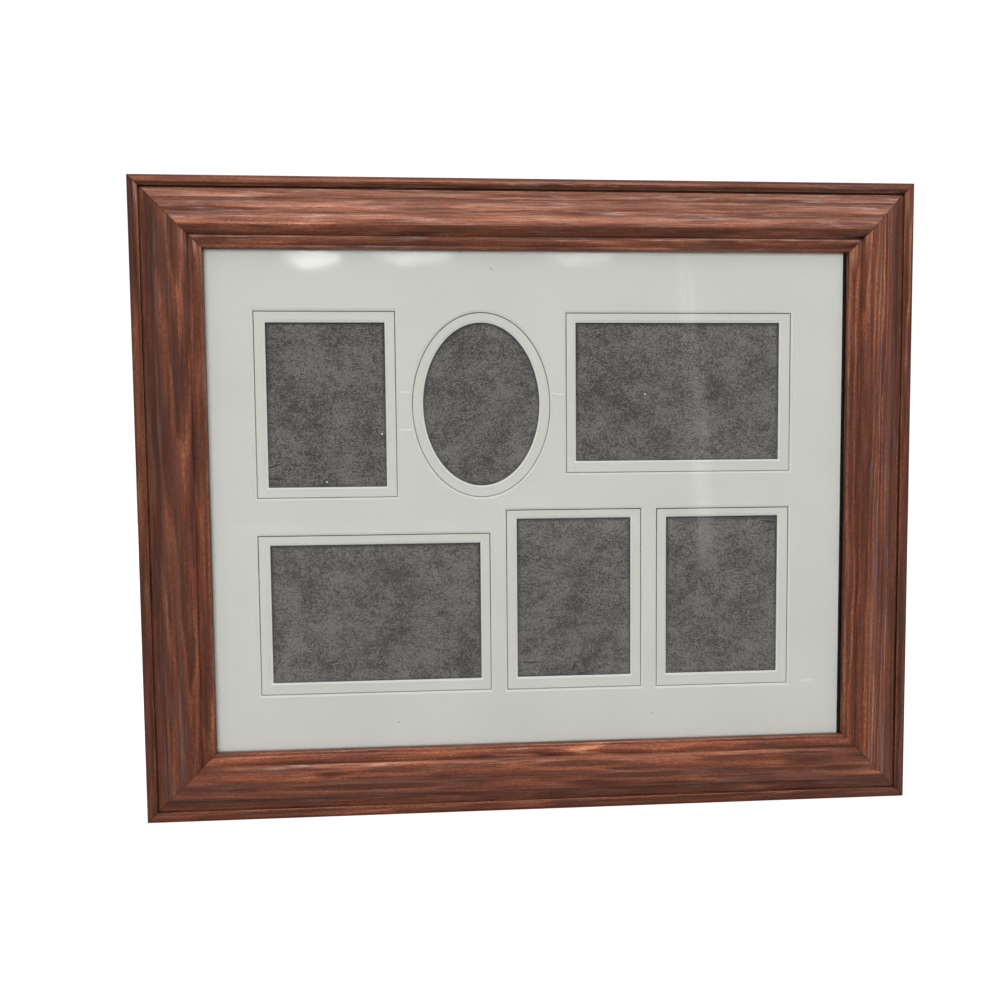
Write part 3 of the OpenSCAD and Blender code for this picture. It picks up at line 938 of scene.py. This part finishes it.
# Lamps, all aimed at the middle of the frame: place, size, power, and whether they light matt
# surfaces and show in shiny ones. The world's brightness is one thing seen, another as light.
LAMPS = {
    "overhead": ((0.1, -1.2, 2.2), (3.4, 2.0), 6, True, True),
    "sky_sheen": ((0.1, -1.65, 2.15), (3.4, 1.9), 200, False, True),
    "front": ((-0.15, -2.6, -0.25), (2.2, 2.2), 66, True, False),
    "rear": ((-0.15, 2.6, -0.25), (2.2, 2.2), 66, True, False),
}
ROOM_SEEN = 1.0
ROOM_LIGHT = 0.34


def area_lamp(name, place, size, power, lights_matt, shows):
    """A flat lamp aimed at the frame's middle."""
    data = bpy.data.lights.new(name, "AREA")
    data.shape = "RECTANGLE"
    data.size, data.size_y = size
    data.energy = power
    lamp = bpy.data.objects.new(name, data)
    lamp.location = place
    aim = Vector((0, 0, CENTRE_Z)) - Vector(place)
    lamp.rotation_euler = aim.to_track_quat("-Z", "Y").to_euler()
    lamp.visible_diffuse = lights_matt
    lamp.visible_glossy = shows
    lamp.visible_camera = shows
    bpy.context.scene.collection.objects.link(lamp)


def lights():
    """The lamps and the pale room round them."""
    for name, settings in LAMPS.items():
        area_lamp(name, *settings)
    g = Nodes("pale_room", world=True)
    strength = g.math("MULTIPLY_ADD", seen_ray(g), ROOM_SEEN - ROOM_LIGHT, ROOM_LIGHT)
    glow = g.node("Background", {"Color": (1, 1, 1), "Strength": strength}).outputs[0]
    bpy.context.scene.world = g.finish(glow)


# Bright things in the room that the pane mirrors: centre x and z, half width and half height
# in mm, lean in degrees and strength
GLINTS_Y = -1200
GLINTS = (
    (-325, 231, 72, 30, 0, 22.0),
    (-120, 236, 100, 26, 0, 12.0),
    (226, 238, 90, 28, 0, 9.0),
    (480, -170, 30, 620, -4.4, 3.5),
    (-24, -694, 60, 50, 0, 5.0),
    (266, -702, 110, 40, 0, 4.0),
)
GLINT_FADE = ((0.0, 1.0), (0.5, 0.7), (1.0, 0.0))
GLINT_WHITE = (1.0, 0.99, 0.96)


def glint_card(index, x, z, half_width, half_height, lean, strength):
    """A soft patch of light that only shows in reflections."""
    g = Nodes(f"glint_{index}")
    place = g.node("TexCoord").outputs["Object"]
    fade = g.ramp(g.vector("LENGTH", place), *GLINT_FADE, smooth=True)
    cloud = g.ramp(g.noise(place, scale=2.5, detail=3), (0.38, 0.25), (0.6, 1.0))
    seen = g.math("MULTIPLY", g.node("LightPath").outputs["Is Glossy Ray"], strength)
    power = g.math("MULTIPLY", seen, g.math("MULTIPLY", fade, cloud))
    glow = g.node("Emission", {"Color": GLINT_WHITE, "Strength": power}).outputs[0]
    clear = g.node("BsdfTransparent").outputs[0]
    bm = bmesh.new()
    corners = ((-1, -1), (1, -1), (1, 1), (-1, 1))
    bm.faces.new([bm.verts.new((across, 0, up)) for across, up in corners])
    material = g.finish(g.node("AddShader", {0: clear, 1: glow}).outputs[0])
    card = new_piece(f"glint_card_{index}", bm, (material,))
    card.location = (x * MM, GLINTS_Y * MM, z * MM)
    card.rotation_euler.y = math.radians(lean)
    card.scale = (half_width * MM, 1, half_height * MM)
    card.visible_camera = False
    card.visible_diffuse = False
    card.visible_shadow = False


CAMERA_PLACE = Vector((-63.5, -604.3, -164.7)) * MM
CAMERA_TURN = Vector([math.radians(a) for a in (3.300, -3.796, -0.611)])
FOCAL_PX = 850
PICTURE_PX = 1000
SENSOR = 36
CLIP = (0.01, 50)
# The fit's own axes at no turn: right, down and ahead in the part's frame
LEVEL = Matrix(((1, 0, 0), (0, 0, -1), (0, 1, 0)))


def camera():
    """A pinhole camera fitted to the window corners, level with the photograph's."""
    data = bpy.data.cameras.new("camera")
    data.sensor_width = SENSOR
    data.lens = SENSOR * FOCAL_PX / PICTURE_PX
    data.clip_start, data.clip_end = CLIP
    turn = Matrix.Rotation(CAMERA_TURN.length, 3, CAMERA_TURN.normalized())
    right, down, ahead = turn @ LEVEL
    pose = Matrix((right, -down, -ahead)).transposed().to_4x4()
    pose.translation = CAMERA_PLACE
    shot = bpy.data.objects.new("camera", data)
    shot.matrix_world = pose
    bpy.context.scene.collection.objects.link(shot)
    bpy.context.scene.camera = shot


# The part, its stage, lights and camera

TOP_PAPER = (0.722, 0.718, 0.680)
UNDER_PAPER = (0.735, 0.725, 0.675)
TOP_CORE = ((0.84, 0.83, 0.78), (0.92, 0.91, 0.87))
UNDER_CORE = ((0.91, 0.905, 0.87), (0.97, 0.965, 0.94))

RAW_PINE = raw_pine()
MAT_MATERIALS = {
    "top_mat": (mat_paper("top_mat_paper", TOP_PAPER, MAT_PALE_LINES, MAT_SPECKS),
                mat_core("top_mat_core", *TOP_CORE)),
    "under_mat": (mat_paper("under_mat_paper", UNDER_PAPER),
                  mat_core("under_mat_core", *UNDER_CORE),
                  mat_gap()),
}
TURN_BUTTONS = 8
ZINC = plated("zinc_steel", (0.27, 0.27, 0.26), (0.50, 0.51, 0.52))
BRASS = plated("brass_plate", (0.42, 0.28, 0.09), (0.78, 0.58, 0.25))

for turn_index, rail_name in enumerate(("top_rail", "right_rail", "bottom_rail", "left_rail")):
    rail(rail_name, turn_index)
top_windows = mat("top_mat")
under_windows = mat("under_mat", top_windows)
backing_sheet(under_windows)
paint_node(clear_glass(), "glass")
paint_node(brown_card(), "filler_board")
paint_node(hardboard(), "back_panel")
turn_buttons = [f"turn_button_{i + 1}" for i in range(TURN_BUTTONS)]
paint_node(ZINC, "corner_v_nails", "turn_button_screws", *turn_buttons)
paint_node(BRASS, "sawtooth_hanger", "hanger_nails")
paint_node(black_felt(), "wall_bumpers")
stage()
lights()
for index, glint in enumerate(GLINTS):
    glint_card(index, *glint)
camera()
bpy.context.scene.view_settings.view_transform = "Standard"
